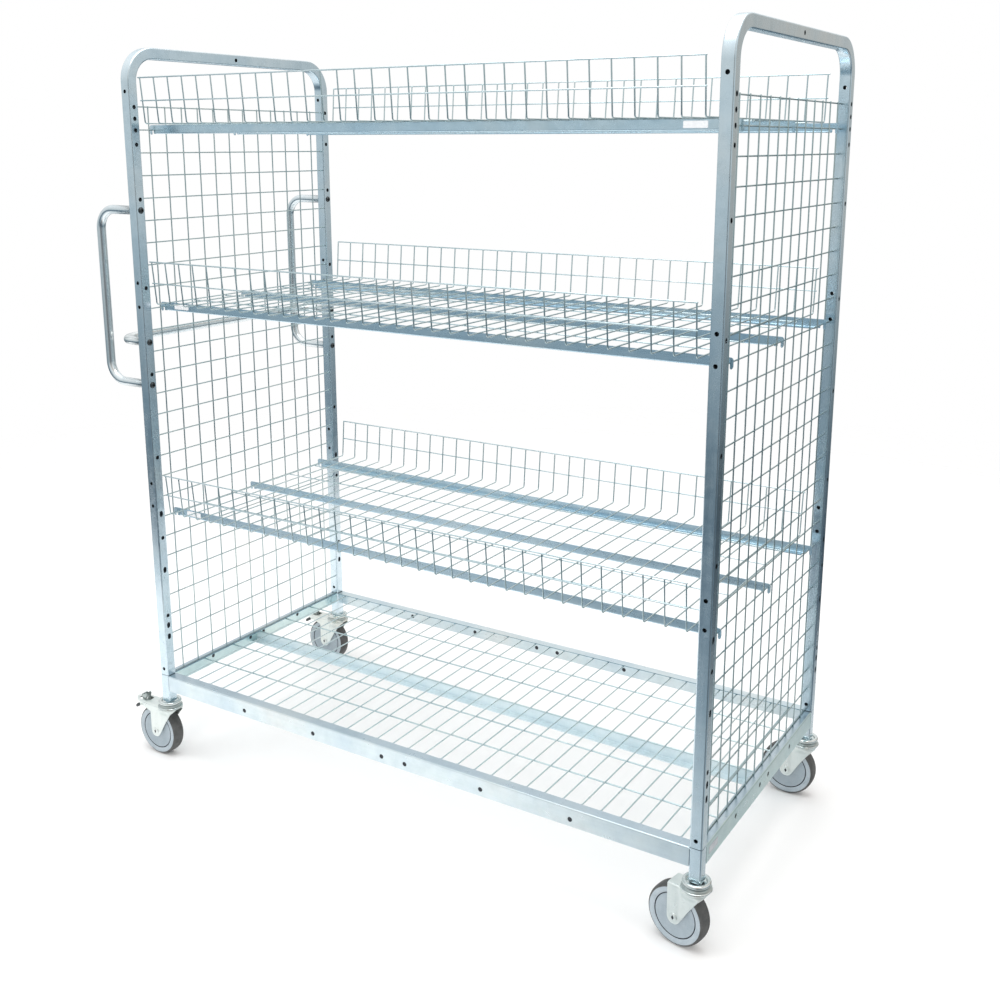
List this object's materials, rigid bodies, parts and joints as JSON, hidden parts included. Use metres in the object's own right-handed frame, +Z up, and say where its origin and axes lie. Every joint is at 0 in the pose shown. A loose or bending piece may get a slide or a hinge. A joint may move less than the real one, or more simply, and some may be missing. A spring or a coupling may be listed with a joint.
{
  "type": "wire mesh shelf trolley",
  "caption": "Zinc-plated steel trolley with two wire mesh gables, a wire deck, lift-out wire basket shelves, loop handles and a push bar on one gable, and swivel casters.",
  "frame": {"origin": "on the floor under the middle of the bounding box", "axes": "+X along the trolley from the handle gable towards the plain gable, +Y across it from the front to the rear, +Z up"},
  "size_m": [1.56, 0.707, 1.698],
  "materials": {
    "zinc_tube": "bright zinc plate on drawn tube, slightly cloudy, faint blue tint",
    "zinc_sheet": "bright zinc plate on folded sheet, pale blue tint",
    "zinc_wire": "bright zinc plate on drawn and spot-welded wire",
    "zinc_caster": "bright zinc plate on pressed steel",
    "zinc_fastener": "bright zinc plate",
    "brake_metal": "pressed steel, darker zinc",
    "grey_plastic": "moulded blue-grey nylon",
    "grey_tyre": "grey-brown rubber tread"
  },
  "bodies": {
    "trolley": {"left_gable_frame": "zinc_tube", "left_gable_mesh": "zinc_wire", "right_gable_frame": "zinc_tube", "right_gable_mesh": "zinc_wire", "front_rail": "zinc_sheet", "rear_rail": "zinc_sheet", "left_rail": "zinc_sheet", "right_rail": "zinc_sheet", "front_left_leg": "zinc_tube", "front_right_leg": "zinc_tube", "rear_left_leg": "zinc_tube", "rear_right_leg": "zinc_tube", "deck_mesh": "zinc_wire", "deck_stiffener": "zinc_sheet", "front_loop_handle": "zinc_tube", "rear_loop_handle": "zinc_tube", "push_bar": "zinc_tube", "front_lower_handle_bolt": "zinc_fastener", "front_push_handle_bolt": "zinc_fastener", "front_upper_handle_bolt": "zinc_fastener", "rear_lower_handle_bolt": "zinc_fastener", "rear_push_handle_bolt": "zinc_fastener", "rear_upper_handle_bolt": "zinc_fastener", "front_left_caster_raceway": "zinc_caster", "front_right_caster_raceway": "zinc_caster", "rear_left_caster_raceway": "zinc_caster", "rear_right_caster_raceway": "zinc_caster"},
    "lower_shelf": {"lower_basket": "zinc_wire", "lower_front_bar": "zinc_sheet", "lower_middle_bar": "zinc_sheet", "lower_rear_bar": "zinc_sheet"},
    "middle_shelf": {"middle_basket": "zinc_wire", "middle_front_bar": "zinc_sheet", "middle_middle_bar": "zinc_sheet", "middle_rear_bar": "zinc_sheet"},
    "upper_shelf": {"upper_basket": "zinc_wire", "upper_front_bar": "zinc_sheet", "upper_middle_bar": "zinc_sheet", "upper_rear_bar": "zinc_sheet"},
    "front_left_swivel": {"front_left_caster_fork": "zinc_caster", "front_left_caster_axle": "zinc_fastener"},
    "front_left_wheel": {"front_left_wheel_hub": "grey_plastic", "front_left_wheel_tyre": "grey_tyre"},
    "front_left_brake": {"front_left_brake_pedal": "brake_metal"},
    "front_right_swivel": {"front_right_caster_fork": "zinc_caster", "front_right_caster_axle": "zinc_fastener"},
    "front_right_wheel": {"front_right_wheel_hub": "grey_plastic", "front_right_wheel_tyre": "grey_tyre"},
    "rear_left_swivel": {"rear_left_caster_fork": "zinc_caster", "rear_left_caster_axle": "zinc_fastener"},
    "rear_left_wheel": {"rear_left_wheel_hub": "grey_plastic", "rear_left_wheel_tyre": "grey_tyre"},
    "rear_left_brake": {"rear_left_brake_pedal": "brake_metal"},
    "rear_right_swivel": {"rear_right_caster_fork": "zinc_caster", "rear_right_caster_axle": "zinc_fastener"},
    "rear_right_wheel": {"rear_right_wheel_hub": "grey_plastic", "rear_right_wheel_tyre": "grey_tyre"}
  },
  "joints": [
    {"name": "lower_shelf_lift", "type": "slide", "parent": "trolley", "child": "lower_shelf", "axis": [0, 0, 1], "range_m": [0, 0.02]},
    {"name": "middle_shelf_lift", "type": "slide", "parent": "trolley", "child": "middle_shelf", "axis": [0, 0, 1], "range_m": [0, 0.02]},
    {"name": "upper_shelf_lift", "type": "slide", "parent": "trolley", "child": "upper_shelf", "axis": [0, 0, 1], "range_m": [0, 0.02]},
    {"name": "front_left_swivel_turn", "type": "hinge", "parent": "trolley", "child": "front_left_swivel", "pos_m": [-0.646, -0.3235, 0.14], "axis": [0, 0, 1], "continuous": true},
    {"name": "front_left_wheel_spin", "type": "hinge", "parent": "front_left_swivel", "child": "front_left_wheel", "pos_m": [-0.682, -0.3235, 0.0625], "axis": [0, 1, 0], "continuous": true},
    {"name": "front_left_brake_press", "type": "hinge", "parent": "front_left_swivel", "child": "front_left_brake", "pos_m": [-0.73, -0.3235, 0.122], "axis": [0, -1, 0], "range_deg": [0, 12]},
    {"name": "front_right_swivel_turn", "type": "hinge", "parent": "trolley", "child": "front_right_swivel", "pos_m": [0.75, -0.3235, 0.14], "axis": [0, 0, 1], "continuous": true},
    {"name": "front_right_wheel_spin", "type": "hinge", "parent": "front_right_swivel", "child": "front_right_wheel", "pos_m": [0.71455, -0.31725, 0.0625], "axis": [0.1736, 0.9848, 0], "continuous": true},
    {"name": "rear_left_swivel_turn", "type": "hinge", "parent": "trolley", "child": "rear_left_swivel", "pos_m": [-0.646, 0.3235, 0.14], "axis": [0, 0, 1], "continuous": true},
    {"name": "rear_left_wheel_spin", "type": "hinge", "parent": "rear_left_swivel", "child": "rear_left_wheel", "pos_m": [-0.682, 0.3235, 0.0625], "axis": [0, 1, 0], "continuous": true},
    {"name": "rear_left_brake_press", "type": "hinge", "parent": "rear_left_swivel", "child": "rear_left_brake", "pos_m": [-0.73, 0.3235, 0.122], "axis": [0, -1, 0], "range_deg": [0, 12]},
    {"name": "rear_right_swivel_turn", "type": "hinge", "parent": "trolley", "child": "rear_right_swivel", "pos_m": [0.75, 0.3235, 0.14], "axis": [0, 0, 1], "continuous": true},
    {"name": "rear_right_wheel_spin", "type": "hinge", "parent": "rear_right_swivel", "child": "rear_right_wheel", "pos_m": [0.714, 0.3235, 0.0625], "axis": [0, 1, 0], "continuous": true}
  ]
}
